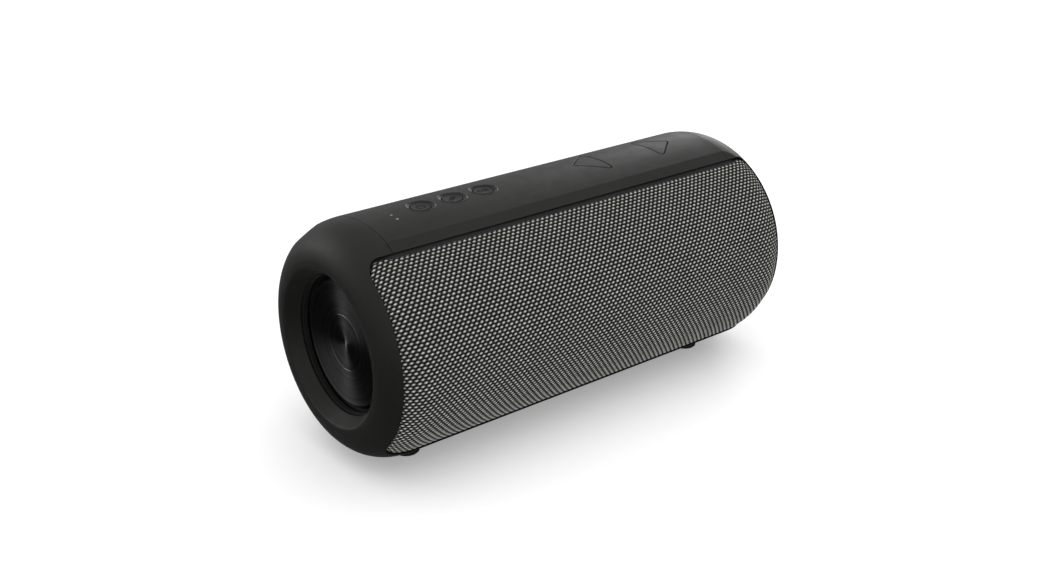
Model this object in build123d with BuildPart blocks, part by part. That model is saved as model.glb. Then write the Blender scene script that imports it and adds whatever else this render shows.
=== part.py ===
"""Portable speaker: a round body lying on its side, cloth front and back, a radiator in each end."""
import os
from math import acos, cos, hypot, pi, sin, sqrt

from build123d import *

os.makedirs("parts", exist_ok=True)

# ---- driving dimensions, in millimetres; heights marked "up" count from the body's centre line ----
body_radius = 38.0
body_length = 168.0
foot_drop = 1.2                        # how far the feet stand below the round body
axis_height = body_radius + foot_drop  # centre line above the table

dome_length = 15.0                     # rounded shoulder at each end
dome_power = 2.1                       # squareness of the shoulder, 2 would be an ellipse
rim_radius = 25.3                      # mouth of the recess in each end
lip_radius = 1.0
recess_floor_radius = 22.1
recess_depth = 5.1
wall_length = 1.6                      # straight part of the recess wall, behind its slope
shell = 2.4                            # wall of the outer mouldings

seam = 70.0                            # where the long strips meet the end caps
seam_gap = 0.2
window_end = 79.5                      # half length of the cloth window
window_top = 33.0                      # up
window_bottom = -29.9                  # up
window_corner = 5.5
window_gap = 0.25
crease_angle = 68.3                    # where the top face folds down towards the cloth
crease_plane = 37.0                    # distance of the folded face from the centre line

cloth_sink = 0.35                      # the cloth lies just below the mouldings
cloth_thick = 0.8
frame_thick = 1.5
frame_drop = cloth_sink + cloth_thick + 0.05

cabinet_half = 70.4
plate_thick = 2.8
plate_face = cabinet_half + plate_thick
cabinet_width = 52.0
cabinet_top = 29.5                     # up
cabinet_bottom = -30.5                 # up
cabinet_corner = 15.0
cabinet_wall = 2.5
plate_screw_y, plate_screw_z = 19.0, 22.5

driver_x, driver_up = 40.0, 1.0
driver_flange = 20.5
driver_hole = 18.3
driver_screw_circle = 19.35

round_key_x = {"key_power": -48.1, "key_link": -36.1, "key_play": -24.1}
round_key_radius = 3.5                 # hole for the key
rim_radius_top = 4.5                   # flared rim round the hole, where it meets the strip
rim_deep = 0.6
key_dish = 0.6                         # the key's middle lies this far below the strip
dish_radius = 22.0
edge_round = 0.22                      # rounded edges of the keys and their holes
triangle_key = {"key_quieter": (24.7, -1), "key_louder": (46.4, 1)}  # flat side's x, way it points
triangle_tall = 11.4
triangle_half = 9.3
key_gap = 0.3
board_top = 31.8                       # up, upper face of the key board
stem_end = 32.85                       # up
light_x = -59.8
light_y = (-4.8, -1.6, 1.6, 4.8)
light_radius = 0.4

port_half = 20.0
port_top, port_bottom = -1.5, -16.3    # up
port_floor = 27.4
port_corner = 1.2
flap_pin_y, flap_pin_up = 33.7, -14.5
usb_x, audio_x, socket_up = -9.0, 8.0, -8.5
main_board_y = 17.6
board_screw = [(-29, -13), (29, -13), (-29, 18), (29, 18)]

foot_x, foot_y, foot_radius = 62.0, 8.3, 4.2
foot_seat = -36.0                      # up
disc_radius = 20.3
disc_depth = 6.3                       # face of the radiator disc below the rim

# ---- planes and the body's own axis ----
front_view = Plane(origin=(0, 0, axis_height), x_dir=(1, 0, 0), z_dir=(0, -1, 0))
end_view = Plane(origin=(0, 0, axis_height), x_dir=(0, 1, 0), z_dir=(1, 0, 0))
top_view = Plane.XY.offset(axis_height)
body_axis = Axis((0, 0, axis_height), (1, 0, 0))
dome_start = body_length / 2 - dome_length
dome_foot = rim_radius + 0.58 * lip_radius


def save(part, name):
    part.label = name
    export_step(part, f"parts/{name}.step")


def shoulder(x, drop=0.0):
    """Radius of the outer shape at distance x from the middle, less a drop."""
    into = min(max((abs(x) - dome_start) / dome_length, 0.0), 1.0)
    keep = (1 - into**dome_power) ** (1 / dome_power)
    return dome_foot + (body_radius - dome_foot) * keep - drop


def window_outline(grow):
    """Cloth window seen from the front."""
    with Locations((0, (window_top + window_bottom) / 2)):
        RectangleRounded(
            2 * (window_end + grow), window_top - window_bottom + 2 * grow, window_corner + grow
        )


def skin_section(outer_drop, inner_drop, half):
    """Section of a thin skin that follows the outer shape, ready to turn about the body's axis."""
    xs = [dome_start + (half - dome_start) * k / 6 for k in range(7)]
    outer = [(x, shoulder(x, outer_drop)) for x in xs]
    inner = [(x, shoulder(x, inner_drop)) for x in xs]
    end_slope = (outer[6][1] - outer[5][1]) / (xs[6] - xs[5])
    with BuildSketch(front_view) as section:
        with BuildLine():
            for way in (1, -1):
                for edge in (outer, inner):
                    Spline(*[(way * x, r) for x, r in edge], tangents=[(way, 0), (way, end_slope)])
                Line((way * half, outer[6][1]), (way * half, inner[6][1]))
            Line((-dome_start, body_radius - outer_drop), (dome_start, body_radius - outer_drop))
            Line((-dome_start, body_radius - inner_drop), (dome_start, body_radius - inner_drop))
        make_face()
    return section.sketch


def crease_outline():
    """What the fold takes off both top edges, seen from the end."""
    fold = crease_angle * pi / 180
    lean = fold - acos(crease_plane / body_radius)
    y, up = body_radius * cos(fold), body_radius * sin(fold)
    with BuildSketch(end_view) as outline:
        for side in (-1, 1):
            with BuildLine():
                Polyline(
                    (side * y, up),
                    (side * (y + 14 * sin(lean)), up - 14 * cos(lean)),
                    (side * (y + 20), up),
                    (side * (y + 3), up + 8),
                    close=True,
                )
            make_face()
    return outline.sketch


def triangle_outline(flat_x, way, grow, up):
    """Rounded triangle of a volume key seen from above."""
    with BuildSketch(top_view.offset(up)) as outline:
        with BuildLine():
            Polyline(
                (flat_x, -triangle_half),
                (flat_x + way * triangle_tall, 0),
                (flat_x, triangle_half),
                close=True,
            )
        make_face()
        fillet(outline.vertices(), 1.3)
        if grow:
            offset(amount=grow, kind=Kind.ARC, mode=Mode.REPLACE)
    return outline.sketch


def upper_rims(part, inset):
    """Edges of a part round its keys, where they meet the outer skin, less than an inset below it."""
    def on_skin(edge):
        return all(
            (edge @ t).Z > axis_height and hypot((edge @ t).Y, (edge @ t).Z - axis_height) > body_radius - inset
            for t in (0, 0.5, 1)
        )

    spans = [(x - 6, x + 6) for x in round_key_x.values()]
    spans += [sorted((x - 2 * way, x + way * (triangle_tall + 2))) for x, way in triangle_key.values()]
    return part.edges().filter_by(
        lambda edge: on_skin(edge)
        and abs(edge.center().Y) < triangle_half + 1
        and any(low < edge.center().X < high for low, high in spans)
    )


def turned(profile, plane, axis):
    """Turn a closed profile about an axis lying in the plane."""
    with BuildSketch(plane) as section:
        with BuildLine():
            Polyline(*profile, close=True)
        make_face()
    revolve(section.sketch, axis=axis)


# ---- end caps: domed mouldings with a deep round recess ----
def end_cap(side, name):
    first = seam + seam_gap / 2
    start = asin_of_power((first - dome_start) / dome_length)
    turns = [start + (pi / 2 - start) * k / 8 for k in range(9)]
    outer = [
        (dome_start + dome_length * sin(t) ** (2 / dome_power),
         dome_foot + (body_radius - dome_foot) * cos(t) ** (2 / dome_power) if k < 8 else dome_foot)
        for k, t in enumerate(turns)
    ]
    inner_reach, inner_foot = dome_length - shell, 26.6
    inner_start = asin_of_power((first - dome_start) / inner_reach)
    inner_turns = [inner_start + (pi / 2 - inner_start) * k / 8 for k in range(9)]
    inner = [
        (dome_start + inner_reach * sin(t) ** (2 / dome_power),
         inner_foot + (body_radius - shell - inner_foot) * cos(t) ** (2 / dome_power) if k < 8 else inner_foot)
        for k, t in enumerate(inner_turns)
    ]
    end = body_length / 2
    wall_x, wall_r = recess_depth, rim_radius - recess_floor_radius
    wall_run = sqrt(wall_x**2 + wall_r**2)
    lip_leg = 0.58 * lip_radius
    lip_in = (end - lip_leg * wall_x / wall_run, rim_radius - lip_leg * wall_r / wall_run)
    lip_mid = (end - 0.135 * lip_radius, rim_radius + 0.078 * lip_radius)
    floor_x = end - recess_depth
    with BuildPart() as cap:
        with BuildSketch(front_view):
            with BuildLine():
                Spline(*[(side * x, r) for x, r in outer], tangents=[(side, -0.07), (0, -1)])
                ThreePointArc((side * end, dome_foot), (side * lip_mid[0], lip_mid[1]),
                              (side * lip_in[0], lip_in[1]))
                Polyline((side * lip_in[0], lip_in[1]), (side * floor_x, recess_floor_radius),
                         (side * floor_x, recess_floor_radius + 2.3), (side * inner[8][0], inner[8][1]))
                Spline(*[(side * x, r) for x, r in inner], tangents=[(side, -0.08), (0, -1)])
                Line((side * first, inner[0][1]), (side * first, outer[0][1]))
            make_face()
        revolve(axis=body_axis)
        with BuildSketch(front_view):
            window_outline(0)
        extrude(amount=50, both=True, mode=Mode.SUBTRACT)
        extrude(crease_outline(), amount=body_length, both=True, mode=Mode.SUBTRACT)
        with BuildSketch(end_view.offset(side * floor_x)):
            Circle(recess_floor_radius + 2.3)
            Circle(recess_floor_radius, mode=Mode.SUBTRACT)
        extrude(amount=-side * wall_length)
        with BuildSketch(end_view.offset(side * plate_face)):
            with PolarLocations(29.3, 4):
                Circle(2.0)
        extrude(amount=side * 7.5)
    save(cap.part, name)


def asin_of_power(into):
    """Angle on the shoulder curve that lies a given share of the way into the dome."""
    return pi / 2 - acos(into ** (dome_power / 2))


end_cap(-1, "end_cap_left")
end_cap(1, "end_cap_right")

# ---- top strip: one long moulding with the holes for the keys and lights ----
with BuildPart() as top_strip:
    revolve(skin_section(0, shell, seam - seam_gap / 2), axis=body_axis)
    with BuildSketch(end_view):
        with Locations((0, window_top + 10)):
            Rectangle(60, 20)
    extrude(amount=seam, both=True, mode=Mode.INTERSECT)
    extrude(crease_outline(), amount=body_length, both=True, mode=Mode.SUBTRACT)
    with BuildSketch(top_view):
        with Locations(*[(x, 0) for x in round_key_x.values()]):
            Circle(round_key_radius)
        with Locations(*[(light_x, y) for y in light_y]):
            Circle(light_radius + 0.05)
    extrude(amount=body_radius, mode=Mode.SUBTRACT)
    for flat_x, way in triangle_key.values():
        extrude(triangle_outline(flat_x, way, 0, 0), amount=body_radius, mode=Mode.SUBTRACT)
    flare = (rim_radius_top - round_key_radius) / rim_deep
    with Locations(*[(x, 0, axis_height + body_radius) for x in round_key_x.values()]):
        Cone(rim_radius_top - rim_deep * flare, rim_radius_top + rim_deep * flare, 2 * rim_deep, mode=Mode.SUBTRACT)
    fillet(upper_rims(top_strip, 0.2), edge_round)
    with BuildSketch(top_view.offset(cabinet_top)):
        with Locations((-66.5, 0), (66.5, 0)):
            Circle(2.4)
    extrude(amount=36.4 - cabinet_top)
save(top_strip.part, "top_strip")

# ---- keys ----
for key_name, key_x in round_key_x.items():
    with BuildPart() as key:
        with BuildSketch(top_view.offset(34.0)):
            with Locations((key_x, 0)):
                Circle(round_key_radius - key_gap)
        extrude(amount=6)
        with BuildSketch(top_view.offset(34.0)):
            with Locations((key_x, 0)):
                Circle(round_key_radius + 0.9)
        extrude(amount=0.8)
        with BuildSketch(top_view.offset(stem_end)):
            with Locations((key_x, 0)):
                Circle(1.5)
        extrude(amount=1.2)
        with BuildSketch(end_view):
            Circle(body_radius - 0.02)
        extrude(amount=seam, both=True, mode=Mode.INTERSECT)
        with Locations((key_x, 0, axis_height + body_radius + dish_radius - key_dish)):
            Sphere(dish_radius, mode=Mode.SUBTRACT)
        fillet(upper_rims(key, key_dish), edge_round)
    save(key.part, key_name)

for key_name, (flat_x, way) in triangle_key.items():
    with BuildPart() as key:
        extrude(triangle_outline(flat_x, way, -key_gap, 32.9), amount=7)
        extrude(triangle_outline(flat_x, way, 0.7, 32.9), amount=0.8)
        with BuildSketch(end_view):
            Circle(body_radius - 0.02)
        extrude(amount=seam, both=True, mode=Mode.INTERSECT)
        fillet(upper_rims(key, 0.2), edge_round)
    save(key.part, key_name)

with BuildPart() as status_lights:
    with BuildSketch(top_view.offset(board_top + 0.2)):
        with Locations(*[(light_x, y) for y in light_y]):
            Circle(light_radius)
    extrude(amount=8)
    with BuildSketch(end_view):
        Circle(body_radius - 0.02)
    extrude(amount=seam, both=True, mode=Mode.INTERSECT)
save(status_lights.part, "status_lights")

# ---- key board and its five dome switches ----
with BuildPart() as key_board:
    with BuildSketch(top_view.offset(board_top - 1.2)):
        with Locations((-1, 0)):
            RectangleRounded(124, 21, 2)
    extrude(amount=1.2)
save(key_board.part, "key_board")

switch_x = list(round_key_x.values()) + [x + way * triangle_tall * 0.35 for x, way in triangle_key.values()]
with BuildPart() as key_switches:
    with BuildSketch(top_view.offset(board_top)):
        with Locations(*[(x, 0) for x in switch_x]):
            Circle(2.4)
    extrude(amount=0.35, taper=25)
save(key_switches.part, "key_switches")

# ---- bottom strip with seats for the feet ----
with BuildPart() as bottom_strip:
    revolve(skin_section(0, shell, seam - seam_gap / 2), axis=body_axis)
    with BuildSketch(end_view):
        with Locations((0, window_bottom - 10)):
            Rectangle(70, 20)
    extrude(amount=seam, both=True, mode=Mode.INTERSECT)
    with BuildSketch(top_view.offset(foot_seat + 0.1)):
        with GridLocations(2 * foot_x, 2 * foot_y, 2, 2):
            Circle(2.6)
    extrude(amount=cabinet_bottom - foot_seat - 0.1)
    with BuildSketch(top_view.offset(foot_seat)):
        with GridLocations(2 * foot_x, 2 * foot_y, 2, 2):
            Circle(foot_radius + 0.1)
    extrude(amount=-5, mode=Mode.SUBTRACT)
    with BuildSketch(top_view.offset(foot_seat - 1)):
        with GridLocations(2 * foot_x, 2 * foot_y, 2, 2):
            Circle(2.2)
    extrude(amount=2.15, mode=Mode.SUBTRACT)
    with BuildSketch(top_view.offset(foot_seat - 1)):
        with GridLocations(2 * foot_x, 2 * foot_y, 2, 2):
            Circle(1.25)
    extrude(amount=8, mode=Mode.SUBTRACT)
save(bottom_strip.part, "bottom_strip")

with BuildPart() as feet:
    with BuildSketch(Plane.XY):
        with GridLocations(2 * foot_x, 2 * foot_y, 2, 2):
            Circle(foot_radius)
    extrude(amount=axis_height + foot_seat)
    chamfer(feet.edges().group_by(Axis.Z)[0], 0.4)
save(feet.part, "feet")

with BuildPart() as strip_screws:
    with BuildSketch(top_view.offset(foot_seat + 0.05)):
        with GridLocations(2 * foot_x, 2 * foot_y, 2, 2):
            Circle(2.05)
    extrude(amount=1.1)
    with BuildSketch(top_view.offset(foot_seat + 1)):
        with GridLocations(2 * foot_x, 2 * foot_y, 2, 2):
            Circle(1.1)
    extrude(amount=6.5)
save(strip_screws.part, "strip_screws")

# ---- cloth and the perforated frames it is stretched over ----
port_middle, port_tall = (port_top + port_bottom) / 2, port_top - port_bottom
for name, toward in (("front", 1), ("back", -1)):
    with BuildPart() as cloth:
        revolve(skin_section(cloth_sink, cloth_sink + cloth_thick, window_end), axis=body_axis)
        with BuildSketch(front_view):
            window_outline(-window_gap)
            if toward < 0:
                with Locations((0, port_middle)):
                    RectangleRounded(2 * port_half + 6.5, port_tall + 6.5, 5, mode=Mode.SUBTRACT)
        extrude(amount=toward * 50, mode=Mode.INTERSECT)
    save(cloth.part, f"cloth_{name}")

    with BuildPart() as frame:
        revolve(skin_section(frame_drop, frame_drop + frame_thick, window_end), axis=body_axis)
        with BuildSketch(front_view):
            window_outline(-window_gap)
            if toward < 0:
                with Locations((0, port_middle)):
                    RectangleRounded(2 * port_half + 6.5, port_tall + 6.5, 5, mode=Mode.SUBTRACT)
        extrude(amount=toward * 50, mode=Mode.INTERSECT)
        with BuildSketch(front_view.offset(toward * 20)):
            with Locations((-driver_x, driver_up), (driver_x, driver_up)):
                with HexLocations(2.1, 9, 9):
                    Circle(1.25)
        extrude(amount=toward * 20, mode=Mode.SUBTRACT)
        with BuildSketch(end_view):
            with Locations((-toward * (cabinet_width / 2 + 5), 14), (-toward * (cabinet_width / 2 + 5), -23)):
                Rectangle(10, 1.6)
            Circle(body_radius - frame_drop - 0.5, mode=Mode.INTERSECT)
        extrude(amount=17, both=True)
    save(frame.part, f"cloth_frame_{name}")

# ---- sealed cabinet that carries the drivers, the boards and the end plates ----
cabinet_middle = (cabinet_top + cabinet_bottom) / 2
cabinet_tall = cabinet_top - cabinet_bottom
with BuildPart() as cabinet:
    with BuildSketch(end_view):
        with Locations((0, cabinet_middle)):
            RectangleRounded(cabinet_width, cabinet_tall, cabinet_corner)
            RectangleRounded(cabinet_width - 2 * cabinet_wall, cabinet_tall - 2 * cabinet_wall,
                             cabinet_corner - cabinet_wall, mode=Mode.SUBTRACT)
    extrude(amount=cabinet_half, both=True)
    for side in (-1, 1):
        with BuildSketch(end_view.offset(side * cabinet_half)):
            with Locations((0, cabinet_middle)):
                with GridLocations(2 * plate_screw_y, 2 * plate_screw_z, 2, 2):
                    Circle(2.6)
        extrude(amount=-side * 12)
        with BuildSketch(end_view.offset(side * cabinet_half)):
            with Locations((0, cabinet_middle)):
                with GridLocations(2 * plate_screw_y, 2 * plate_screw_z, 2, 2):
                    Circle(1.22)
        extrude(amount=-side * 10.5, mode=Mode.SUBTRACT)
    with BuildSketch(front_view.offset(-(main_board_y + 1.6))):
        with Locations(*board_screw):
            Circle(2.2)
    extrude(amount=-(cabinet_width / 2 - 1 - main_board_y - 1.6))
    with BuildSketch(front_view.offset(-(main_board_y + 1.6))):
        with Locations(*board_screw):
            Circle(0.82)
    extrude(amount=-3.2, mode=Mode.SUBTRACT)
    with BuildSketch(top_view.offset(cabinet_top - 0.5)):
        with Locations((-60, 8), (-60, -8), (0, 8), (0, -8), (60, 8), (60, -8)):
            Circle(1.8)
    extrude(amount=board_top - 1.2 - cabinet_top + 0.5)
    with BuildSketch(front_view.offset(20)):
        for side in (-1, 1):
            with Locations((side * driver_x, driver_up)):
                Circle(driver_hole)
                with PolarLocations(driver_screw_circle, 4, 45):
                    Circle(0.62)
    extrude(amount=10, mode=Mode.SUBTRACT)
    with BuildSketch(front_view.offset(-20)):
        with Locations((usb_x, socket_up)):
            RectangleRounded(9.9, 4.1, 1.2)
        with Locations((audio_x, socket_up)):
            Circle(3.4)
    extrude(amount=-10, mode=Mode.SUBTRACT)
    with BuildSketch(top_view.offset(cabinet_bottom - 1)):
        with GridLocations(2 * foot_x, 2 * foot_y, 2, 2):
            Circle(1.12)
    extrude(amount=5, mode=Mode.SUBTRACT)
save(cabinet.part, "cabinet")

# ---- radiator at each end: plate, rubber surround and weighted metal disc ----
collar = plate_face + 1.5
glued = collar + 0.05
disc_face = body_length / 2 - disc_depth
for side, name in ((-1, "left"), (1, "right")):
    with BuildPart() as plate:
        turned([(side * cabinet_half, 23.4), (side * cabinet_half, 33.0), (side * plate_face, 33.0),
                (side * plate_face, 27.0), (side * collar, 27.0), (side * collar, 23.4)],
               front_view, body_axis)
        with BuildSketch(end_view.offset(side * cabinet_half)):
            with Locations((0, cabinet_middle)):
                with GridLocations(2 * plate_screw_y, 2 * plate_screw_z, 2, 2):
                    Circle(1.35)
        extrude(amount=side * plate_thick, mode=Mode.SUBTRACT)
    save(plate.part, f"radiator_plate_{name}")

    with BuildPart() as surround:
        with BuildSketch(front_view):
            with BuildLine():
                ThreePointArc((side * (glued + 0.45), 20.75), (side * (glued + 1.9), 22.3),
                              (side * (glued + 0.45), 23.85))
                Polyline((side * (glued + 0.45), 23.85), (side * (glued + 0.45), 26.3), (side * glued, 26.3),
                         (side * glued, 23.45))
                ThreePointArc((side * glued, 23.45), (side * (glued + 1.45), 22.3), (side * glued, 21.15))
                Polyline((side * glued, 21.15), (side * glued, 20.75), (side * (glued + 0.45), 20.75))
            make_face()
        revolve(axis=body_axis)
    save(surround.part, f"radiator_surround_{name}")

    with BuildPart() as disc:
        turned([(side * (disc_face - 0.5), 0), (side * disc_face, 17.6), (side * disc_face, 19.8),
                (side * (disc_face - 0.45), disc_radius), (side * (disc_face - 1.8), disc_radius),
                (side * (disc_face - 1.8), 12), (side * (disc_face - 5), 11.5), (side * (disc_face - 5), 0)],
               front_view, body_axis)
    save(disc.part, f"radiator_disc_{name}")

with BuildPart() as plate_screws:
    for side in (-1, 1):
        with BuildSketch(end_view.offset(side * (plate_face + 0.05))):
            with Locations((0, cabinet_middle)):
                with GridLocations(2 * plate_screw_y, 2 * plate_screw_z, 2, 2):
                    Circle(2.0)
        extrude(amount=side * 1.2)
        with BuildSketch(end_view.offset(side * (plate_face + 0.5))):
            with Locations((0, cabinet_middle)):
                with GridLocations(2 * plate_screw_y, 2 * plate_screw_z, 2, 2):
                    Circle(1.2)
        extrude(amount=-side * 12.5)
save(plate_screws.part, "plate_screws")

# ---- two small full-range drivers behind the front cloth ----
def cap_arc(crown_y, rim_r, rim_y):
    """Arc of a round dust cap, centred on the driver's own axis."""
    ball = (rim_r**2 + (rim_y - crown_y) ** 2) / (2 * (rim_y - crown_y))
    middle = crown_y + ball - sqrt(ball**2 - rim_r**2 / 4)
    ThreePointArc((0, crown_y), (rim_r / 2, middle), (rim_r, rim_y))


for side, name in ((-1, "left"), (1, "right")):
    driver_view = Plane(origin=(side * driver_x, 0, axis_height + driver_up), x_dir=(1, 0, 0), z_dir=(0, 0, 1))
    driver_axis = Axis((side * driver_x, 0, axis_height + driver_up), (0, 1, 0))
    with BuildPart() as basket:
        turned([(18.0, -27.5), (driver_flange, -27.5), (driver_flange, -26.0), (18.2, -26.0),
                (18.2, -24.2), (12.6, -14.0), (12.6, -12.5), (7.6, -12.5), (7.6, -13.7),
                (11.4, -13.7), (17.0, -24.0), (17.0, -26.2), (18.0, -26.2)], driver_view, driver_axis)
        with BuildSketch(front_view.offset(15)):
            with Locations((side * driver_x, driver_up)):
                with PolarLocations(14.6, 6):
                    Circle(2.3)
        extrude(amount=7.5, mode=Mode.SUBTRACT)
        with BuildSketch(front_view.offset(25.5)):
            with Locations((side * driver_x, driver_up)):
                with PolarLocations(driver_screw_circle, 4, 45):
                    Circle(0.66)
        extrude(amount=3, mode=Mode.SUBTRACT)
    save(basket.part, f"driver_basket_{name}")

    with BuildPart() as magnet:
        turned([(0, -13.2), (6.0, -13.2), (6.0, -6.5), (7.5, -6.5), (7.5, -12.5), (11.5, -12.5),
                (11.5, -4.0), (0, -4.0)], driver_view, driver_axis)
    save(magnet.part, f"driver_magnet_{name}")

    with BuildPart() as surround:
        with BuildSketch(driver_view):
            with BuildLine():
                ThreePointArc((14.05, -26.6), (15.62, -28.2), (17.2, -26.6))
                Polyline((17.2, -26.6), (17.95, -26.6), (17.95, -26.22), (16.8, -26.22))
                ThreePointArc((16.8, -26.22), (15.62, -27.75), (14.45, -26.22))
                Polyline((14.45, -26.22), (14.05, -26.22), (14.05, -26.6))
            make_face()
        revolve(axis=driver_axis)
    save(surround.part, f"driver_surround_{name}")

    with BuildPart() as cone:
        with BuildSketch(driver_view):
            with BuildLine():
                cap_arc(-24.6, 7.2, -22.3)
                Polyline((7.2, -22.3), (13.7, -26.9), (13.7, -26.3), (7.2, -21.2), (7.0, -9.0),
                         (6.5, -9.0), (6.5, -22.1))
                cap_arc(-24.0, 6.5, -22.1)
                Line((0, -24.0), (0, -24.6))
            make_face()
        revolve(axis=driver_axis)
    save(cone.part, f"driver_cone_{name}")

with BuildPart() as driver_screws:
    for side in (-1, 1):
        with BuildSketch(front_view.offset(27.5)):
            with Locations((side * driver_x, driver_up)):
                with PolarLocations(driver_screw_circle, 4, 45):
                    Circle(1.1)
        extrude(amount=0.7)
        with BuildSketch(front_view.offset(27.6)):
            with Locations((side * driver_x, driver_up)):
                with PolarLocations(driver_screw_circle, 4, 45):
                    Circle(0.6)
        extrude(amount=-3.6)
save(driver_screws.part, "driver_screws")

# ---- battery and main board ----
with BuildPart() as battery_cells:
    for start in (1.0, -66.0):
        with BuildSketch(end_view.offset(start)):
            with Locations((6, -17)):
                Circle(9.15)
        extrude(amount=65)
save(battery_cells.part, "battery_cells")

with BuildPart() as battery_tray:
    with BuildSketch(end_view):
        with Locations((5, -27.2)):
            Rectangle(12, 1.5)
    extrude(amount=68, both=True)
    for middle, thick in ((0, 1.2), (67.2, 1.6), (-67.2, 1.6)):
        with BuildSketch(end_view.offset(middle - thick / 2)):
            with Locations((5, -21)):
                Rectangle(12, 13.9)
        extrude(amount=thick)
save(battery_tray.part, "battery_tray")

with BuildPart() as main_board:
    with BuildSketch(front_view.offset(-main_board_y)):
        with Locations((0, 2.5)):
            RectangleRounded(66, 38, 2)
        with Locations(*board_screw):
            Circle(0.9, mode=Mode.SUBTRACT)
    extrude(amount=-1.6)
save(main_board.part, "main_board")

with BuildPart() as board_screws:
    with BuildSketch(front_view.offset(-main_board_y)):
        with Locations(*board_screw):
            Circle(1.5)
    extrude(amount=1.0)
    with BuildSketch(front_view.offset(-main_board_y + 0.5)):
        with Locations(*board_screw):
            Circle(0.8)
    extrude(amount=-4.6)
save(board_screws.part, "board_screws")

# ---- port bay in the back, its two sockets and the rubber flap ----
socket_back = main_board_y + 1.6
with BuildPart() as usb_socket:
    with BuildSketch(front_view.offset(-socket_back)):
        with Locations((usb_x, socket_up)):
            RectangleRounded(9.4, 3.6, 1.1)
    extrude(amount=-(port_floor - socket_back))
    with BuildSketch(front_view.offset(-port_floor)):
        with Locations((usb_x, socket_up)):
            RectangleRounded(8.6, 2.8, 1.1)
            Rectangle(6.4, 0.7, mode=Mode.SUBTRACT)
    extrude(amount=6.5, mode=Mode.SUBTRACT)
save(usb_socket.part, "usb_socket")

with BuildPart() as audio_socket:
    with BuildSketch(front_view.offset(-socket_back)):
        with Locations((audio_x, socket_up)):
            Circle(3.2)
    extrude(amount=-(port_floor - socket_back))
    with BuildSketch(front_view.offset(-port_floor)):
        with Locations((audio_x, socket_up)):
            Circle(1.8)
    extrude(amount=7.5, mode=Mode.SUBTRACT)
save(audio_socket.part, "audio_socket")

with BuildPart() as port_bay:
    with BuildSketch(front_view.offset(-cabinet_width / 2)):
        with Locations((0, port_middle)):
            RectangleRounded(2 * port_half + 6, port_tall + 6, 4.8)
    extrude(amount=-14)
    with BuildSketch(end_view):
        Circle(body_radius - 0.1)
    extrude(amount=30, both=True, mode=Mode.INTERSECT)
    with BuildSketch(front_view.offset(-port_floor)):
        with Locations((0, port_middle)):
            RectangleRounded(2 * port_half, port_tall, port_corner)
    extrude(amount=-14, mode=Mode.SUBTRACT)
    with BuildSketch(front_view.offset(-port_floor)):
        with Locations((usb_x, socket_up)):
            RectangleRounded(9.6, 3.8, 1.1)
        with Locations((audio_x, socket_up)):
            Circle(3.3)
    extrude(amount=5, mode=Mode.SUBTRACT)
    with BuildSketch(end_view):
        with Locations((flap_pin_y, flap_pin_up)):
            Circle(0.5)
    extrude(amount=port_half + 1.6, both=True, mode=Mode.SUBTRACT)
save(port_bay.part, "port_bay")

flap_half, flap_top, flap_bottom = port_half - 0.3, port_top - 0.3, flap_pin_up - 0.7
with BuildPart() as port_flap:
    with BuildSketch(front_view.offset(-port_floor)):
        with Locations((0, (flap_top + flap_bottom) / 2)):
            RectangleRounded(2 * flap_half, flap_top - flap_bottom, port_corner - 0.2)
    extrude(amount=-14)
    with BuildSketch(end_view):
        Circle(body_radius - 0.4)
        Circle(body_radius - 1.8, mode=Mode.SUBTRACT)
    extrude(amount=flap_half + 1, both=True, mode=Mode.INTERSECT)
    with BuildSketch(end_view):
        with Locations((flap_pin_y, flap_pin_up)):
            Circle(0.9)
    extrude(amount=17, both=True)
    with BuildSketch(end_view):
        with Locations((37.4, flap_top - 0.75)):
            Rectangle(1.1, 1.3)
    extrude(amount=4.5, both=True)
    with BuildSketch(end_view):
        with Locations((flap_pin_y, flap_pin_up)):
            Circle(0.55)
    extrude(amount=port_half, both=True, mode=Mode.SUBTRACT)
save(port_flap.part, "port_flap")

with BuildPart() as flap_pin:
    with BuildSketch(end_view):
        with Locations((flap_pin_y, flap_pin_up)):
            Circle(0.5)
    extrude(amount=port_half + 1.5, both=True)
save(flap_pin.part, "flap_pin")
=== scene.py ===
"""Looks of the portable speaker: cloth, soft-touch shell, keys, metal end discs and all that they hide."""

import math

import bpy
import numpy as np
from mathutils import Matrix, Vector


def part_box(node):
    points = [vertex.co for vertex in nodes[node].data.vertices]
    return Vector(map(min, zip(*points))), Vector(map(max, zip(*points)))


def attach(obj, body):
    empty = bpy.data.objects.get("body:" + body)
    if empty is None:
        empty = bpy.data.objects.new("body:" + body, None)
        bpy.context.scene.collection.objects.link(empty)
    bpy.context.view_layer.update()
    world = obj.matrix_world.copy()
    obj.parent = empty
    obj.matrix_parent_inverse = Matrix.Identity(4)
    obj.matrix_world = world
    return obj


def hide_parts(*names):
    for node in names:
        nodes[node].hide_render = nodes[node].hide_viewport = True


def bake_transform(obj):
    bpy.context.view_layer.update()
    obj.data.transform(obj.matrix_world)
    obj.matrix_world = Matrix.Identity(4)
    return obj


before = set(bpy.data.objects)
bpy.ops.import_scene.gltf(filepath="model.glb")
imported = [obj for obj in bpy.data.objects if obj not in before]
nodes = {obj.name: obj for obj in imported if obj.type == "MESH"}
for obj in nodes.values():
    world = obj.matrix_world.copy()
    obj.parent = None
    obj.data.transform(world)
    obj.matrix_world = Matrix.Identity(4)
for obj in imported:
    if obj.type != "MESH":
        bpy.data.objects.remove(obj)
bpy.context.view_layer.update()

# ---- cabinet ----
# The sealed inner box is a plain dark moulding of glass-filled plastic. Everything else is fixed to it: the
# drivers, the end plates, the boards and both strips. The tray and the two end plates are the same plastic.
MM = 0.001


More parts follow.
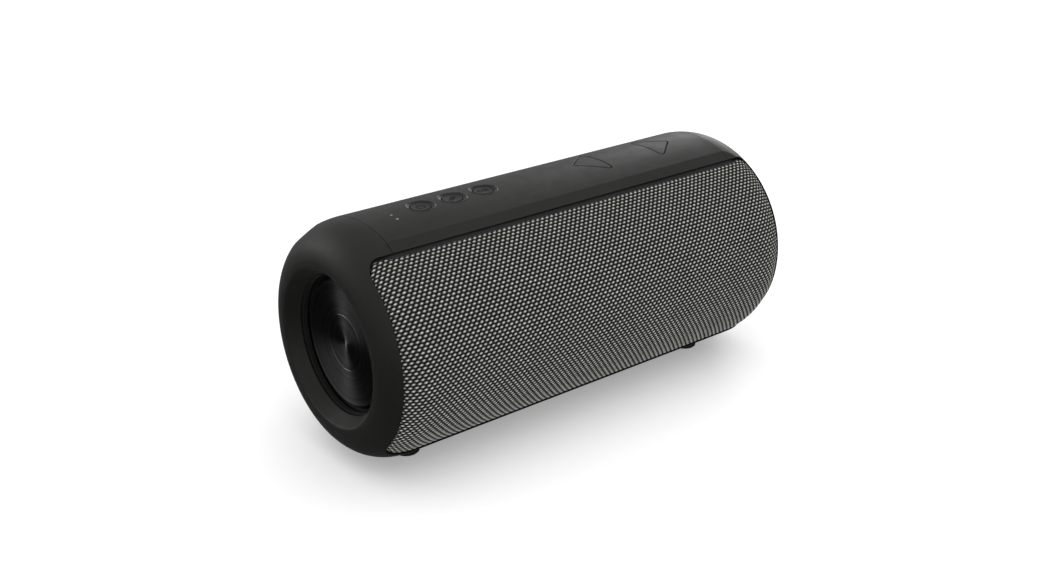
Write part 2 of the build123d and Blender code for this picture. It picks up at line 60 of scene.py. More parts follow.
def part(tree, kind, sockets=None, **settings):
    """Adds a shader node, sets its options, then fills its sockets from numbers or from other nodes."""
    made = tree.nodes.new("ShaderNode" + kind)
    for name, value in settings.items():
        setattr(made, name, value)
    for name, value in (sockets or {}).items():
        if isinstance(name, int):
            socket = made.inputs[name]
        else:
            socket = next(s for s in made.inputs if s.name == name and s.enabled)
        if isinstance(value, bpy.types.Node):
            tree.links.new(next(s for s in value.outputs if s.enabled), socket)
        elif isinstance(value, bpy.types.NodeSocket):
            tree.links.new(value, socket)
        else:
            socket.default_value = value
    return made


def blank(name, **constants):
    """A new material: its node tree and its shader, with the constants set on the shader's own sockets."""
    made = bpy.data.materials.new(name)
    made.use_nodes = True
    shader = next(n for n in made.node_tree.nodes if n.type == "BSDF_PRINCIPLED")
    for socket, value in constants.items():
        shader.inputs[socket.replace("_", " ")].default_value = value
    return made, made.node_tree, shader


def noise(tree, where, scale, detail=2.0, roughness=0.5):
    """Soft random field over a place, with so many features in a metre."""
    return part(tree, "TexNoise", {"Vector": where, "Scale": scale, "Detail": detail, "Roughness": roughness})


def between(tree, share, low, high, start=0.3, end=0.7):
    """Turns a field into a number that runs from low to high while the field runs from start to end."""
    ends = {"From Min": start, "From Max": end, "To Min": low, "To Max": high}
    return part(tree, "MapRange", {"Value": share, **ends})


def two_tone(tree, share, dark, light):
    """A colour between dark and light by a share from 0 to 1."""
    return part(tree, "Mix", {"Factor": share, "A": (*dark, 1), "B": (*light, 1)}, data_type="RGBA")


def plug_in(tree, shader, **linked):
    """Joins nodes to the shader's sockets."""
    for socket, value in linked.items():
        out = next(s for s in value.outputs if s.enabled)
        tree.links.new(out, shader.inputs[socket.replace("_", " ")])


def moulded(name, dark, light, gloss, grain_size, grain_depth, edge=0.0, **constants):
    """Moulded plastic or rubber: tool grain all over, tone and gloss that drift a little, dust-fine speckle.
    gloss is the roughness where it is smoothest and where it is dullest, and edge the radius that its
    corners are broken to."""
    made, tree, shader = blank(name, **constants)
    place = part(tree, "TexCoord").outputs["Object"]
    drift = noise(tree, place, 45, 3.0)
    speckle = noise(tree, place, 2600, 1.0)
    tone = part(tree, "Math", {0: drift, 1: speckle}, operation="MULTIPLY")
    colour = two_tone(tree, between(tree, tone, 0, 1, 0.12, 0.42), dark, light)
    rough = between(tree, noise(tree, place, 170, 4.0, 0.6), *gloss)
    grain = noise(tree, place, 1 / grain_size, 2.0, 0.6)
    bump = part(tree, "Bump", {"Height": grain, "Distance": grain_depth, "Strength": 1.0})
    if edge:
        broken = part(tree, "Bevel", {"Radius": edge}, samples=6)
        tree.links.new(broken.outputs["Normal"], bump.inputs["Normal"])
    plug_in(tree, shader, Base_Color=colour, Roughness=rough, Normal=bump)
    return made


def dress(material, *names):
    """Gives CAD pieces their finish."""
    for name in names:
        for slot in nodes[name].material_slots:
            slot.material = material


inner_plastic = moulded(
    "inner_plastic", (0.012, 0.012, 0.013), (0.024, 0.024, 0.025), (0.42, 0.6), 0.5 * MM, 0.02 * MM
)
dress(inner_plastic, "cabinet", "battery_tray", "radiator_plate_left", "radiator_plate_right")

# ---- drivers ----
# Two small full-range drivers: pressed steel baskets, sintered ring magnets, paper cones with a felt fleck,
# and half-round rubber surrounds. Four pan-head screws hold each one to the cabinet.


def pressed_steel(name, dark, light, gloss, **constants):
    """Sheet or wire steel: fine drawing marks along one way, a faint cloudy plating."""
    made, tree, shader = blank(name, Metallic=1.0, **constants)
    place = part(tree, "TexCoord").outputs["Object"]
    stretch = part(tree, "Mapping", {"Vector": place, "Scale": (240, 4200, 4200)})
    marks = noise(tree, stretch, 1.0, 3.0)
    colour = two_tone(tree, noise(tree, place, 160, 4.0, 0.6), dark, light)
    rough = between(tree, marks, *gloss)
    bump = part(tree, "Bump", {"Height": marks, "Distance": 0.006 * MM, "Strength": 1.0})
    plug_in(tree, shader, Base_Color=colour, Roughness=rough, Normal=bump)
    return made


def paper_cone():
    """Pressed paper pulp: pale fibres laid at random in a black felt."""
    made, tree, shader = blank("cone_paper", Sheen_Weight=0.2)
    place = part(tree, "TexCoord").outputs["Object"]
    warp = noise(tree, place, 900, 2.0)
    bent = part(tree, "VectorMath", {0: place, 1: warp.outputs["Color"]}, operation="MULTIPLY")
    fibre = part(tree, "TexVoronoi", {"Vector": bent, "Scale": 5200.0}, feature="DISTANCE_TO_EDGE")
    strand = between(tree, fibre.outputs["Distance"], 1, 0, 0.0, 0.14)
    plug_in(
        tree, shader,
        Base_Color=two_tone(tree, strand, (0.012, 0.012, 0.012), (0.06, 0.058, 0.052)),
        Roughness=between(tree, noise(tree, place, 300), 0.75, 0.95),
        Normal=part(tree, "Bump", {"Height": strand, "Distance": 0.03 * MM, "Strength": 1.0}),
    )
    return made


basket_steel = pressed_steel("basket_steel", (0.05, 0.05, 0.055), (0.10, 0.10, 0.105), (0.38, 0.55))
magnet_steel = pressed_steel("magnet_steel", (0.16, 0.16, 0.17), (0.26, 0.26, 0.27), (0.3, 0.5))
screw_steel = pressed_steel("screw_steel", (0.20, 0.20, 0.21), (0.34, 0.34, 0.35), (0.22, 0.4))
# Black rubber, painted darker than the feet's rubber as shade for the shadowed gap round each disc.
surround_rubber = moulded(
    "surround_rubber", (0.004, 0.004, 0.004), (0.008, 0.008, 0.008), (0.55, 0.7), 0.3 * MM, 0.01 * MM,
    Specular_IOR_Level=0.2,
)
cone_paper = paper_cone()
for side in ("left", "right"):
    dress(basket_steel, f"driver_basket_{side}")
    dress(magnet_steel, f"driver_magnet_{side}")
    dress(surround_rubber, f"driver_surround_{side}", f"radiator_surround_{side}")
    dress(cone_paper, f"driver_cone_{side}")
dress(screw_steel, "driver_screws", "plate_screws", "strip_screws", "board_screws", "flap_pin")

# ---- radiators ----
# The disc in each recess is turned aluminium, anodised near black, and keeps the fine rings of the lathe.
# A thin bright ring is cut through the anodising. A rubber skirt behind the disc seals it to its surround.
body_low, body_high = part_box("end_cap_right")
half_length = body_high.x
radius = (body_high.z - body_low.z) / 2
axis_height = (body_high.z + body_low.z) / 2
ring_radius = 9.0 * MM
ring_width = 0.32 * MM
# The ring's section: millimetres above the disc's face, and shares of its width from its middle.
ring_section = [(-0.04, -0.62), (0.015, -0.5), (0.03, -0.2), (0.03, 0.2), (0.015, 0.5), (-0.04, 0.62)]
disc_face = 17.6 * MM      # radius of the disc's flat face, inside its rounded rim
disc_hollow = 0.5 * MM     # the face is hollow, and its middle lies this far behind its rim
skirt_front = 1.83 * MM    # behind the disc's face, where the skirt leaves the back of the rim
skirt_back = 2.97 * MM     # behind the disc's face at rest, where the skirt meets the surround's back
# The skirt's section: the share of the way from the disc to the surround, and the radius in millimetres.
skirt_wave = [(0, 19.7), (0.02, 20.1), (0.12, 20.36), (0.5, 20.5), (0.9, 20.6), (1, 20.72), (1.01, 21.6)]


def spun_metal(name, dark, light, gloss):
    """Metal turned on a lathe: rings about the body's axis, and a highlight that fans out from the middle."""
    made, tree, shader = blank(name, Metallic=1.0, Anisotropic=0.85, Anisotropic_Rotation=0.25)
    place = part(tree, "TexCoord").outputs["Object"]
    split = part(tree, "SeparateXYZ", {"Vector": place})
    up = part(tree, "Math", {0: split.outputs["Z"], 1: axis_height}, operation="SUBTRACT")
    flat = part(tree, "CombineXYZ", {"Y": split.outputs["Y"], "Z": up})
    out = part(tree, "VectorMath", {0: flat}, operation="LENGTH").outputs["Value"]
    rings = part(tree, "TexNoise", {"W": out, "Scale": 9000.0, "Detail": 4.0}, noise_dimensions="1D")
    bands = part(tree, "TexNoise", {"W": out, "Scale": 700.0, "Detail": 2.0}, noise_dimensions="1D")
    colour = two_tone(tree, between(tree, bands, 0, 1), dark, light)
    rough = between(tree, rings, *gloss)
    bump = part(tree, "Bump", {"Height": rings, "Distance": 0.004 * MM, "Strength": 1.0})
    plug_in(tree, shader, Base_Color=colour, Roughness=rough, Normal=bump)
    around = part(tree, "Tangent", direction_type="RADIAL", axis="X")
    tree.links.new(around.outputs["Tangent"], shader.inputs["Tangent"])
    return made


def smooth_piece(name, points, faces):
    """A piece with smooth shading, from its points and faces."""
    mesh = bpy.data.meshes.new(name)
    mesh.from_pydata(points, [], faces)
    mesh.shade_smooth()
    made = bpy.data.objects.new(name, mesh)
    bpy.context.scene.collection.objects.link(made)
    return made


def lathe(name, profile, toward, turns=96):
    """Turns a profile of (distance along the body, radius) points about the body's axis."""
    angles = [2 * math.pi * k / turns for k in range(turns)]
    points = [(x, r * math.cos(a), axis_height + r * math.sin(a)) for x, r in profile for a in angles]
    faces = [
        (i * turns + k, i * turns + (k + 1) % turns, (i + 1) * turns + (k + 1) % turns, (i + 1) * turns + k)
        for i in range(len(profile) - 1) for k in range(turns)
    ]
    if toward < 0:
        faces = [face[::-1] for face in faces]
    return smooth_piece(name, points, faces)


disc_metal = spun_metal("spun_metal", (0.20, 0.20, 0.20), (0.32, 0.32, 0.325), (0.28, 0.42))
cut_ring = spun_metal("cut_ring", (0.42, 0.42, 0.42), (0.55, 0.55, 0.55), (0.2, 0.3))
for side, toward in (("left", -1), ("right", 1)):
    dress(disc_metal, f"radiator_disc_{side}")
    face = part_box(f"radiator_disc_{side}")[0 if toward < 0 else 1].x
    sunk = disc_hollow * (1 - ring_radius / disc_face)
    ring = lathe(
        f"disc_ring_{side}",
        [(face + toward * (h * MM - sunk), ring_radius + w * ring_width) for h, w in ring_section],
        toward,
    )
    ring.data.materials.append(cut_ring)
    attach(ring, f"radiator_{side}")
    # A thin rubber skirt closes the gap between the disc and its surround.
    moving, fixed = abs(face) - skirt_front, abs(face) - skirt_back
    skirt = lathe(
        f"disc_skirt_{side}",
        [(toward * (moving + (fixed - moving) * share), r * MM) for share, r in skirt_wave[::-1]],
        toward,
    )
    skirt.data.materials.append(surround_rubber)
    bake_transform(skirt)

# ---- boards, sockets and cells ----
# Two glass-fibre boards with green solder mask, a steel and a plastic socket soldered to the main one, dome
# switches of steel on the key board, and two round cells in blue shrink sleeves, which lie in the tray.


def board_mask():
    """Solder mask over copper: the tracks stand proud as a faint square-cornered pattern."""
    made, tree, shader = blank("board_mask", Coat_Weight=0.25, Coat_Roughness=0.2)
    place = part(tree, "TexCoord").outputs["Object"]
    runs = {"Vector": place, "Scale": 420.0, "Randomness": 0.6}
    cells = part(tree, "TexVoronoi", runs, distance="MANHATTAN")
    track = between(tree, cells.outputs["Distance"], 0, 1, 0.35, 0.42)
    glass = noise(tree, place, 1500)
    plug_in(
        tree, shader,
        Base_Color=two_tone(tree, track, (0.006, 0.030, 0.016), (0.012, 0.055, 0.030)),
        Roughness=between(tree, glass, 0.3, 0.45),
        Normal=part(tree, "Bump", {"Height": track, "Distance": 0.03 * MM, "Strength": 0.6}),
    )
    return made


board_green = board_mask()
socket_steel = pressed_steel("socket_steel", (0.36, 0.36, 0.37), (0.5, 0.5, 0.51), (0.2, 0.36))
socket_plastic = moulded(
    "socket_plastic", (0.014, 0.014, 0.014), (0.022, 0.022, 0.022), (0.3, 0.42), 0.4 * MM, 0.01 * MM
)
cell_wrap = moulded(
    "cell_wrap", (0.02, 0.09, 0.16), (0.03, 0.12, 0.20), (0.25, 0.36), 1.4 * MM, 0.02 * MM, Coat_Weight=0.3
)
dress(board_green, "main_board", "key_board")
dress(socket_steel, "usb_socket", "key_switches")
dress(socket_plastic, "audio_socket")
dress(cell_wrap, "battery_cells")

# ---- cloth frames ----
# Behind each cloth is a thin curved moulding, drilled with small holes over the drivers. It is matt black so
# that nothing shines through the weave.
grille_plastic = moulded(
    "grille_plastic", (0.006, 0.006, 0.006), (0.012, 0.012, 0.012), (0.6, 0.8), 0.4 * MM, 0.02 * MM
)
dress(grille_plastic, "cloth_frame_front", "cloth_frame_back")

# ---- cloth, front and back ----
# A plain weave of pale grey yarn along the body over thinner black yarn around it, so the pale floats lie in
# staggered rows. It is stretched over the frame, rolls over the frame's edge and is glued behind it.
float_pitch = 1.88 * MM      # from one pale float to the next along the body
row_pitch = 1.165 * MM       # from one row of floats to the next around the body
float_half = (0.74, 0.46)    # half a float's length and width, in millimetres
black_half = (0.38, 0.68)    # the same for the black yarn where it crosses on top
float_lean = 0.13            # how far a float leans off its row, by the twist of its yarn
float_rise = 0.34 * MM
black_rise = 0.20 * MM
cloth_gap = 0.14 * MM        # from the mouldings to the cloth's rolled edge
roll = 0.65 * MM
sink = 0.33 * MM             # the floats' crowns below the mouldings
turned_in = 1.9 * MM         # cloth that goes down behind the frame's edge
float_columns = np.array([-0.42, -0.25, -0.08, 0.08, 0.25, 0.42])  # points along one float, in pitches
row_lines = np.array([-0.5, -0.2, 0.2])                            # points across one row, in pitches

cloth_low, cloth_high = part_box("cloth_front")
window_gap = 0.25 * MM       # from the cloth's own box to the window in the mouldings
window_half = cloth_high.x + window_gap
window_top = cloth_high.z + window_gap - axis_height
window_bottom = cloth_low.z - window_gap - axis_height
window_corner = 5.5 * MM
bay_low, bay_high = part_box("port_bay")
bay_corner = 4.8 * MM
dome_length = 15 * MM
dome_start = half_length - dome_length
dome_foot = 25.88 * MM
dome_power = 2.1


def shoulder(x):
    """Radius of the body's outer shape at each distance x from the middle."""
    into = np.clip((np.abs(x) - dome_start) / (half_length - dome_start), 0, 1)
    return dome_foot + (radius - dome_foot) * (1 - into**dome_power) ** (1 / dome_power)


def outline_distance(x, up, low, high, corner, grow):
    """How far each point is outside a rounded rectangle, seen from the front; inside it is below zero."""
    middle, half = (high + low) / 2, (high - low) / 2 + grow
    beyond = np.abs(np.stack([x, up], -1) - middle) - (half - corner - grow)
    outside = np.linalg.norm(np.maximum(beyond, 0), axis=-1)
    return outside + np.minimum(beyond.max(-1), 0) - corner - grow


def weave_relief(along, around):
    """Height of the weave above its holes, with the place given in floats along and rows around."""
    row = np.round(around)
    step = along + 0.5 * np.mod(row, 2)
    from_float = step - np.round(step)
    x = from_float * float_pitch / MM
    y = (around - row) * row_pitch / MM - float_lean * x
    pale = 1 - (x / float_half[0]) ** 2 - (y / float_half[1]) ** 2
    x = (np.abs(from_float) - 0.5) * float_pitch / MM
    y = (around - row) * row_pitch / MM
    black = 1 - (x / black_half[0]) ** 2 - (y / black_half[1]) ** 2
    pale, black = np.sqrt(np.maximum(pale, 0)), np.sqrt(np.maximum(black, 0))
    return np.maximum(float_rise * pale, black_rise * black)


def stretched_cloth(name, toward, has_bay):
    """The whole cloth as one sheet: a grid bent over the body, cut to the window, rolled in at its edge."""
    fine = np.linspace(-window_half, window_half, 4001)
    run = np.concatenate([[0], np.cumsum(np.hypot(np.diff(fine), np.diff(shoulder(fine))))])
    run -= run[-1] / 2
    columns = int(run[-1] / float_pitch) + 1
    s = (np.arange(-columns, columns + 1)[:, None] + float_columns).ravel() * float_pitch
    s = s[np.abs(s) < run[-1] + 0.1 * MM]
    first = math.floor(radius * math.asin(window_bottom / radius) / row_pitch) - 1
    last = math.ceil(radius * math.asin(window_top / radius) / row_pitch) + 1
    a = (np.arange(first, last + 1)[:, None] + row_lines).ravel() * row_pitch / radius
    x, turn = np.meshgrid(np.interp(s, run, fine), a, indexing="ij")
    up = shoulder(x) * np.sin(turn)

    def outside(x, up):
        low, high = np.array([-window_half, window_bottom]), np.array([window_half, window_top])
        d = outline_distance(x, up, low, high, window_corner, -cloth_gap)
        if has_bay:
            low = np.array([bay_low.x, bay_low.z - axis_height])
            high = np.array([bay_high.x, bay_high.z - axis_height])
            d = np.maximum(d, -outline_distance(x, up, low, high, bay_corner, cloth_gap))
        return d

    # Points near the outline move on to it, so that the cut is clean.
    near = 0.17 * MM
    nudge = 0.01 * MM
    for _ in range(3):
        d = outside(x, up)
        slope_x = (outside(x + nudge, up) - outside(x - nudge, up)) / (2 * nudge)
        slope_up = (outside(x, up + nudge) - outside(x, up - nudge)) / (2 * nudge)
        move = np.where(np.abs(d) < near, d, 0)
        x, up = x - move * slope_x, up - move * slope_up
    d = outside(x, up)
    turn = np.arcsin(np.clip(up / shoulder(x), -1, 1))
    along, around = np.interp(x, fine, run) / float_pitch, turn * radius / row_pitch
    edge = np.clip(1 + d / roll, 0, 1)
    drop = roll * (1 - np.sqrt(np.maximum(1 - edge**2, 0)))
    relief = weave_relief(along, around) * (1 - edge**3)
    r = shoulder(x) - sink - float_rise + relief - drop
    points = np.stack([x, -toward * r * np.cos(turn), axis_height + r * np.sin(turn)], -1)

    keep = d < near / 4
    order = np.full(keep.shape, -1)
    order[keep] = np.arange(keep.sum())
    quads = np.stack([order[:-1, :-1], order[1:, :-1], order[1:, 1:], order[:-1, 1:]], -1)
    quads = quads.reshape(-1, 4)
    quads = quads[(quads >= 0).all(1)]
    if toward < 0:
        quads = quads[:, ::-1]
    points, cut = points[keep], np.stack([along[keep], around[keep]], -1)

    # The turned-in edge: every rim side is carried down towards the body's axis.
    sides = np.concatenate([quads[:, [k, (k + 1) % 4]] for k in range(4)])
    both = {tuple(pair) for pair in sides.tolist()}
    rim = [pair for pair in both if pair[::-1] not in both]
    rim_points = sorted({i for pair in rim for i in pair})
    inward = points[rim_points] * np.array([0, 1, 1]) - np.array([0, 0, axis_height])
    inward *= turned_in / np.linalg.norm(inward, axis=1)[:, None]
    below = {i: len(points) + k for k, i in enumerate(rim_points)}
    points = np.concatenate([points, points[rim_points] - inward])
    cut = np.concatenate([cut, cut[rim_points] + [0, turned_in / row_pitch]])
    faces = quads.tolist() + [(a, below[a], below[b], b) for a, b in sorted(rim)]
    made = smooth_piece(name, points.tolist(), faces)
    corners = np.zeros(len(made.data.loops), int)
    made.data.loops.foreach_get("vertex_index", corners)
    made.data.uv_layers.new(name="weave").data.foreach_set("uv", cut[corners].ravel())
    return made


def speaker_cloth():
    """The two yarns, told apart by place in the weave. Fibres run along a float, which has its own tone.
    Each float has a painted highlight on its crown and painted shade on its flanks, and the holes between
    the yarns are painted shade.
    """
    made, tree, shader = blank(
        "speaker_cloth", Sheen_Weight=0.02, Sheen_Roughness=0.5, Specular_IOR_Level=0.1
    )

    def sums(operation, *terms):
        """Arithmetic on fields and numbers."""
        return part(tree, "Math", dict(enumerate(terms)), operation=operation)

    def oval(x, y, half):
        """Nought in the middle of an oval, and one all along its outline."""
        wide = sums("POWER", sums("DIVIDE", x, half[0]), 2.0)
        return sums("ADD", wide, sums("POWER", sums("DIVIDE", y, half[1]), 2.0))

    cut = part(tree, "SeparateXYZ", {"Vector": part(tree, "UVMap", uv_map="weave")})
    along, around = cut.outputs["X"], cut.outputs["Y"]
    row = sums("ROUND", around)
    step = sums("MULTIPLY_ADD", sums("FLOORED_MODULO", row, 2.0), 0.5, along)
    column = sums("ROUND", step)
    x = sums("MULTIPLY", sums("SUBTRACT", step, column), float_pitch / MM)
    across = sums("MULTIPLY", sums("SUBTRACT", around, row), row_pitch / MM)
    y = sums("MULTIPLY_ADD", x, -float_lean, across)
    reach = oval(x, y, float_half)
    # A float is painted palest at its crown, a little above its middle, as a highlight, and its flanks are
    # painted grey as shade where it dives under.
    crown_highlight_oval = oval(x, sums("SUBTRACT", y, 0.07), float_half)
    flank_shade = between(tree, reach, 0.11, 0, 0.8, 1.45)
    pale = sums("MAXIMUM", sums("POWER", between(tree, crown_highlight_oval, 1, 0, 0.0, 0.88), 1.7), flank_shade)
    crown = between(tree, reach, 1, 0, 0.0, 1.1)
    hole_x = sums("SUBTRACT", float_pitch / MM / 2, sums("ABSOLUTE", x))
    black = between(tree, oval(hole_x, across, black_half), 1, 0, 0.2, 1.2)
    # Fibres lie along the yarn with a little twist, and each float is a shade of its own.
    twist = sums("MULTIPLY_ADD", x, 0.5, y)
    drawn_out, close = sums("MULTIPLY", x, 0.8), sums("MULTIPLY", twist, 14.0)
    fibre = noise(tree, part(tree, "CombineXYZ", {"X": drawn_out, "Y": close, "Z": row}), 1.0, 2.0)
    own = part(tree, "TexWhiteNoise", {"Vector": part(tree, "CombineXYZ", {"X": column, "Y": row})})
    tone = sums("MULTIPLY", between(tree, own, 0.78, 1.0, 0, 1), between(tree, fibre, 0.72, 1.08))
    shade = part(tree, "CombineColor", {"Red": tone, "Green": tone, "Blue": sums("MULTIPLY", tone, 0.955)})
    dyed = {"Factor": 1.0, "A": shade, "B": (0.69, 0.69, 0.67, 1)}
    pale_yarn = part(tree, "Mix", dyed, data_type="RGBA", blend_type="MULTIPLY")
    # The black yarn keeps its own near-black colour; the holes between the yarns are painted darker still as
    # shade.
    black_yarn_and_hole_shade = two_tone(tree, black, (0.0008, 0.0008, 0.0006), (0.0065, 0.0067, 0.0056))
    colour = part(tree, "Mix", {"Factor": pale, "A": black_yarn_and_hole_shade, "B": pale_yarn}, data_type="RGBA")
    height = sums("MULTIPLY_ADD", fibre, 0.25, crown)
    plug_in(
        tree, shader,
        Base_Color=colour,
        Roughness=between(tree, fibre, 0.6, 0.85),
        Normal=part(tree, "Bump", {"Height": height, "Distance": 0.22 * MM, "Strength": 0.9}),
    )
    return made


weave = speaker_cloth()
for name, toward in (("front", 1), ("back", -1)):
    cloth = stretched_cloth(f"woven_cloth_{name}", toward, toward < 0)
    cloth.data.materials.append(weave)
    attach(cloth, "speaker")
    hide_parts(f"cloth_{name}")

# ---- shell: end caps and strips ----
# Four mouldings of hard plastic under a soft-touch coat, near black. The coat is matt, with a fine grain from
# the spark-cut tool, and rounds the sharp corners.
soft_shell = moulded(
    "soft_shell", (0.0085, 0.0085, 0.0077), (0.0118, 0.0118, 0.0107), (0.44, 0.54), 0.28 * MM, 0.010 * MM,
    edge=0.18 * MM, Specular_IOR_Level=0.38, Sheen_Weight=0.05, Sheen_Roughness=0.4,
)
dress(soft_shell, "end_cap_left", "end_cap_right", "top_strip", "bottom_strip")

# ---- keys and lights ----
# Three round rubber keys with dished tops and two triangular ones, each over a dome switch. The marks on the
# round keys are thick printed lines, and a glossy bead of the strip, rubbed smooth and painted a shade
# lighter as a highlight, stands round each key. Four light pipes behind pin holes show the charge.
key_rubber = moulded(
    "key_rubber", (0.0095, 0.0095, 0.0095), (0.0135, 0.0135, 0.013), (0.46, 0.58), 0.22 * MM, 0.009 * MM,
    edge=0.12 * MM, Specular_IOR_Level=0.4, Sheen_Weight=0.04, Sheen_Roughness=0.4,
)
dress(key_rubber, "key_power", "key_link", "key_play", "key_quieter", "key_louder")
mark_line = 0.17 * MM
mark_sunk = 0.4 * mark_line  # how far a line's middle lies below the key's face
key_dish = 0.6 * MM          # the round keys are hollow, and their middles lie this far below the strip
dish_radius = 22 * MM
rim_radius = 4.62 * MM
rim_half = 0.24 * MM
rim_high = 0.16 * MM
# The bead's plastic is glossier than the shell and is painted a shade lighter, as a highlight on the lip.
lip_painted_highlight = moulded(
    "lip_painted_highlight", (0.012, 0.012, 0.012), (0.018, 0.018, 0.018), (0.22, 0.34), 0.3 * MM, 0.004 * MM
)


def key_rim(name, key):
    """The bead round a round key, a half-round lip on the strip that hands have rubbed smooth, painted a
    shade lighter than the shell as a highlight.
    """
    low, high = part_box(key)
    middle = (low.x + high.x) / 2
    section = [(math.cos(math.radians(t)), math.sin(math.radians(t))) for t in range(-30, 211, 30)]
    turns = 72
    points, faces = [], []
    for k in range(turns):
        a = 2 * math.pi * k / turns
        for u, v in section:
            r = rim_radius + u * rim_half
            across = r * math.sin(a)
            rise = math.sqrt(radius**2 - across**2) + v * rim_high
            points.append((middle + r * math.cos(a), across, axis_height + rise))
    n = len(section)
    for k in range(turns):
        for j in range(n - 1):
            here, there = k * n + j, (k + 1) % turns * n + j
            faces.append((here, there, there + 1, here + 1))
    made = smooth_piece(name, points, faces)
    made.data.materials.append(lip_painted_highlight)
    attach(made, "speaker")


for key in ("power", "link", "play"):
    key_rim(f"rim_{key}", f"key_{key}")


def printed_ink():
    """Screen-printed ink, dead matt and a little uneven."""
    made, tree, shader = blank("mark_ink", Specular_IOR_Level=0.08)
    place = part(tree, "TexCoord").outputs["Object"]
    streaks = noise(tree, place, 3500, 3.0)
    plug_in(
        tree, shader,
        Base_Color=two_tone(tree, streaks, (0.0012, 0.0012, 0.0012), (0.003, 0.003, 0.003)),
        Roughness=between(tree, streaks, 0.75, 0.95),
        Normal=part(tree, "Bump", {"Height": streaks, "Distance": 0.004 * MM, "Strength": 1.0}),
    )
    return made


def arc(x, y, size, start, end, steps=24):
    """Points of an arc in millimetres about (x, y), with its angles in degrees."""
    angles = [math.radians(start + (end - start) * k / steps) for k in range(steps + 1)]
    return [(x + size * math.cos(t), y + size * math.sin(t)) for t in angles]


def link_loop(x, y, lean):
    """One link of a chain, a long loop that leans."""
    bend, half_run = 0.55, 0.6
    loop = arc(half_run, 0, bend, -90, 90, 12) + arc(-half_run, 0, bend, 90, 270, 12)
    c, s = math.cos(math.radians(lean)), math.sin(math.radians(lean))
    return [(x + c * u - s * v, y + s * u + c * v) for u, v in loop]


def raised_mark(name, key, lines):
    """Fine raised lines that follow the dish of a key. Each line is (points, closed)."""
    low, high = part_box(key)
    middle = (low.x + high.x) / 2
    ball = axis_height + radius + dish_radius - key_dish
    curve = bpy.data.curves.new(name, "CURVE")
    curve.dimensions = "3D"
    curve.bevel_depth = mark_line
    curve.bevel_resolution = 2
    for points, closed in lines:
        spline = curve.splines.new("POLY")
        spline.points.add(len(points) - 1)
        spline.use_cyclic_u = closed
        for knot, (u, v) in zip(spline.points, points):
            depth = math.sqrt(dish_radius**2 - (u * MM) ** 2 - (v * MM) ** 2)
            knot.co = (middle + u * MM, v * MM, ball - depth - mark_sunk, 1)
    made = bpy.data.objects.new(name, curve)
    bpy.context.scene.collection.objects.link(made)
    curve.materials.append(mark_ink)
    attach(made, key.removeprefix("key_"))


mark_ink = printed_ink()
raised_mark(
    "mark_power", "key_power",
    [(arc(0, -0.1, 1.35, 125, 415), False), ([(0, 0.35), (0, 1.75)], False)],
)
raised_mark(
    "mark_link", "key_link",
    [(link_loop(0.55, 0.45, 40), True), (link_loop(-0.55, -0.45, 40), True)],
)
raised_mark(
    "mark_play", "key_play",
    [([(-1.7, -1.1), (-1.7, 1.1), (0.2, 0)], True), ([(0.85, -1.1), (0.85, 1.1)], False),
     ([(1.6, -1.1), (1.6, 1.1)], False)],
)
lit_front, dark_back = -2.4 * MM, 1.9 * MM  # the row of pipes dims from the front to the back


def lit_pipe():
    """Smoked plastic, lit from below. The charge is half used, so the two pipes at the back are dark."""
    made, tree, shader = blank("light_pipe", Roughness=0.35, Emission_Strength=0.3)
    place = part(tree, "TexCoord").outputs["Object"]
    across = part(tree, "SeparateXYZ", {"Vector": place}).outputs["Y"]
    lit = between(tree, across, 1, 0, lit_front, dark_back)
    frost = noise(tree, place, 4000, 2.0)
    glow = part(tree, "Math", {0: lit, 1: between(tree, frost, 0.8, 1.0)}, operation="MULTIPLY")
    plug_in(
        tree, shader,
        Base_Color=two_tone(tree, frost, (0.020, 0.020, 0.021), (0.035, 0.035, 0.036)),
        Emission_Color=two_tone(tree, glow, (0, 0, 0), (0.95, 0.97, 1.0)),
    )
    return made


dress(lit_pipe(), "status_lights")

# ---- feet ----
# Four discs of black rubber, pressed into seats in the bottom strip. Each one hides the head of a screw that
# holds the strip to the cabinet.
foot_rubber = moulded(
    "foot_rubber", (0.009, 0.009, 0.009), (0.015, 0.015, 0.015), (0.6, 0.8), 0.35 * MM, 0.02 * MM
)
dress(foot_rubber, "feet")

# ---- port bay ----
# A moulded box let into the back cloth surrounds the two sockets and has the shell's soft-touch coat. A soft
# rubber flap on a steel pin shuts it.
dress(soft_shell, "port_bay")
dress(foot_rubber, "port_flap")

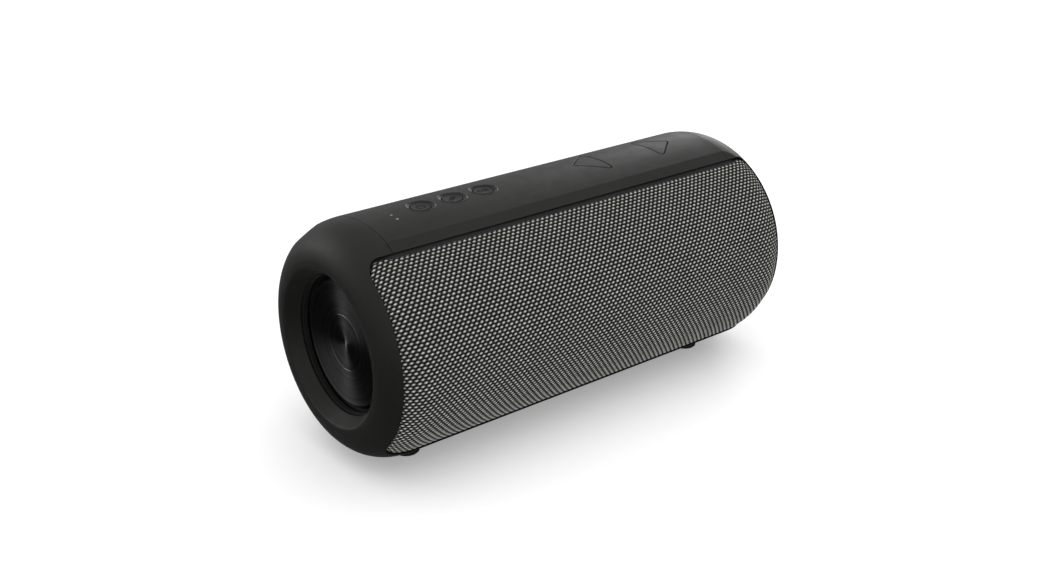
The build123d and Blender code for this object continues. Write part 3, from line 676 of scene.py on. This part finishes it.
# ---- table, light and camera ----
# A light table of white acrylic in a white room, under one wide lamp. One softbox stands in front, one behind
# at the far end, and one to the left, for the metal disc.
table_half = 4.0
corners = [(-1, -1), (1, -1), (1, 1), (-1, 1)]
floor_mesh = bpy.data.meshes.new("table_top")
floor_mesh.from_pydata([(x * table_half, y * table_half, 0) for x, y in corners], [], [(0, 1, 2, 3)])
table_top = bpy.data.objects.new("table_top", floor_mesh)
bpy.context.scene.collection.objects.link(table_top)
white, tree, shader = blank("table_white", Roughness=0.6, Emission_Strength=0.3)
shader.inputs["Base Color"].default_value = (0.75, 0.75, 0.75, 1)
shader.inputs["Emission Color"].default_value = (1, 1, 1, 1)
floor_mesh.materials.append(white)
table_top.visible_glossy = False

world = bpy.data.worlds.new("white_room")
world.use_nodes = True
sky = world.node_tree
up = part(sky, "SeparateXYZ", {"Vector": part(sky, "TexCoord").outputs["Generated"]}).outputs["Z"]
walls = two_tone(sky, between(sky, up, 0, 1, -0.12, 0.12), (0.02, 0.02, 0.02), (1, 1, 1))
plug_in(sky, sky.nodes["Background"], Color=walls)
sky.nodes["Background"].inputs["Strength"].default_value = 0.42
bpy.context.scene.world = world


def softbox(name, place, size, power, mirrored=False):
    """A square lamp that faces the speaker. Only a mirrored one shows in glossy surfaces."""
    lamp = bpy.data.lights.new(name, "AREA")
    lamp.shape, lamp.size, lamp.energy = "SQUARE", size, power
    made = bpy.data.objects.new(name, lamp)
    made.location = place
    made.visible_glossy = mirrored
    toward_speaker = Vector((0, 0, axis_height)) - Vector(place)
    made.rotation_euler = toward_speaker.to_track_quat("-Z", "Y").to_euler()
    bpy.context.scene.collection.objects.link(made)


softbox("lamp_overhead", (0.1, -0.1, 1.3), 1.9, 17)
softbox("lamp_behind", (0.64, 0.40, 0.25), 0.32, 0.85, mirrored=True)
softbox("lamp_left", (-0.58, 0.92, 0.42), 0.65, 1.7, mirrored=True)
softbox("lamp_front", (-0.6, -1.2, 0.7), 1.8, 9)

camera = bpy.data.objects.new("camera", bpy.data.cameras.new("camera"))
camera.data.lens = 47.05
camera.location = (-0.27162, -0.32779, 0.21966)
swing, dip = math.radians(38.90), math.radians(23.14)
look = Vector((math.sin(swing) * math.cos(dip), math.cos(swing) * math.cos(dip), -math.sin(dip)))
camera.rotation_euler = look.to_track_quat("-Z", "Y").to_euler()
camera.data.clip_start = 0.01
bpy.context.scene.collection.objects.link(camera)
bpy.context.scene.camera = camera
bpy.context.scene.view_settings.view_transform = "Standard"
